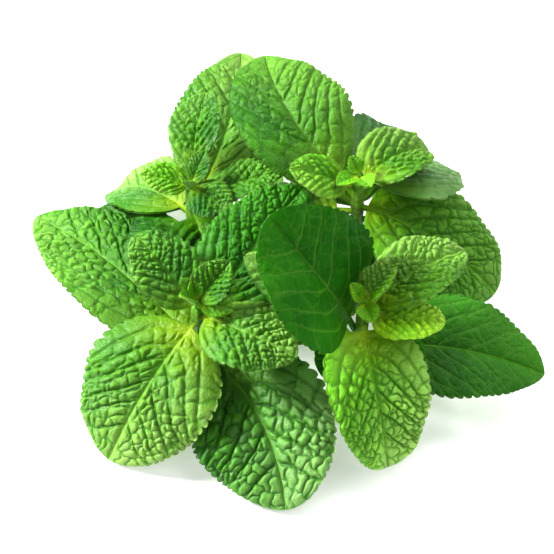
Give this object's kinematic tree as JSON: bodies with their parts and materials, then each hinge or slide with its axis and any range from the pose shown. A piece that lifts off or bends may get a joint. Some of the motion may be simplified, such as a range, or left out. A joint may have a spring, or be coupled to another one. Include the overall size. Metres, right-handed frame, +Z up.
{
  "type": "mint sprig",
  "caption": "Cut sprig of garden mint lying down, a square stem with upright side shoots carrying crossed pairs of toothed, quilted green leaves.",
  "frame": {"origin": "under the middle of the sprig's outline, at the height of the surface it lies on", "axes": "+Z up; the main stem lies along Y with its cut end towards +Y, so the front leaves point to -Y and the picture's left is -X"},
  "size_m": [0.1352, 0.1338, 0.06],
  "materials": {
    "leaf": "living leaf, green, satin on its raised cells",
    "young_leaf": "young leaf, yellow-green, satin",
    "stem": "pale green herb stem, finely haired, satin"
  },
  "bodies": {
    "root": {"stem": "stem", "front_left_pair1_left": "leaf", "front_left_pair1_right": "leaf", "front_left_pair2_left": "leaf", "front_left_pair2_right": "leaf", "front_left_pair3_left": "young_leaf", "front_left_pair3_right": "young_leaf", "front_left_pair1_front": "young_leaf", "front_right_pair1_left": "leaf", "front_right_pair1_right": "leaf", "front_right_pair2_left": "leaf", "front_right_pair2_right": "leaf", "front_right_pair1_low": "young_leaf", "front_right_pair2_low": "young_leaf", "front_right_pair3_right": "young_leaf", "front_right_pair4_right": "young_leaf", "back_right_pair1_back": "leaf", "back_right_pair1_front": "leaf", "back_right_pair1_right": "young_leaf", "back_right_pair2_left": "young_leaf", "back_right_pair2_low": "young_leaf", "back_right_pair3_right": "young_leaf", "back_right_pair3_left": "leaf", "back_right_pair2_right": "leaf", "back_right_pair4_left": "young_leaf", "back_right_pair4_right": "young_leaf", "back_left_pair1_left": "leaf", "back_left_pair1_right": "leaf", "back_left_pair1_low": "leaf", "back_left_pair1_front": "young_leaf", "back_left_pair2_low": "young_leaf", "back_left_pair2_left": "leaf", "back_left_pair2_right": "young_leaf", "back_left_pair3_left": "young_leaf", "front_left_bud": "young_leaf", "front_right_bud": "young_leaf", "back_right_bud": "young_leaf", "back_left_bud": "young_leaf"}
  },
  "joints": []
}
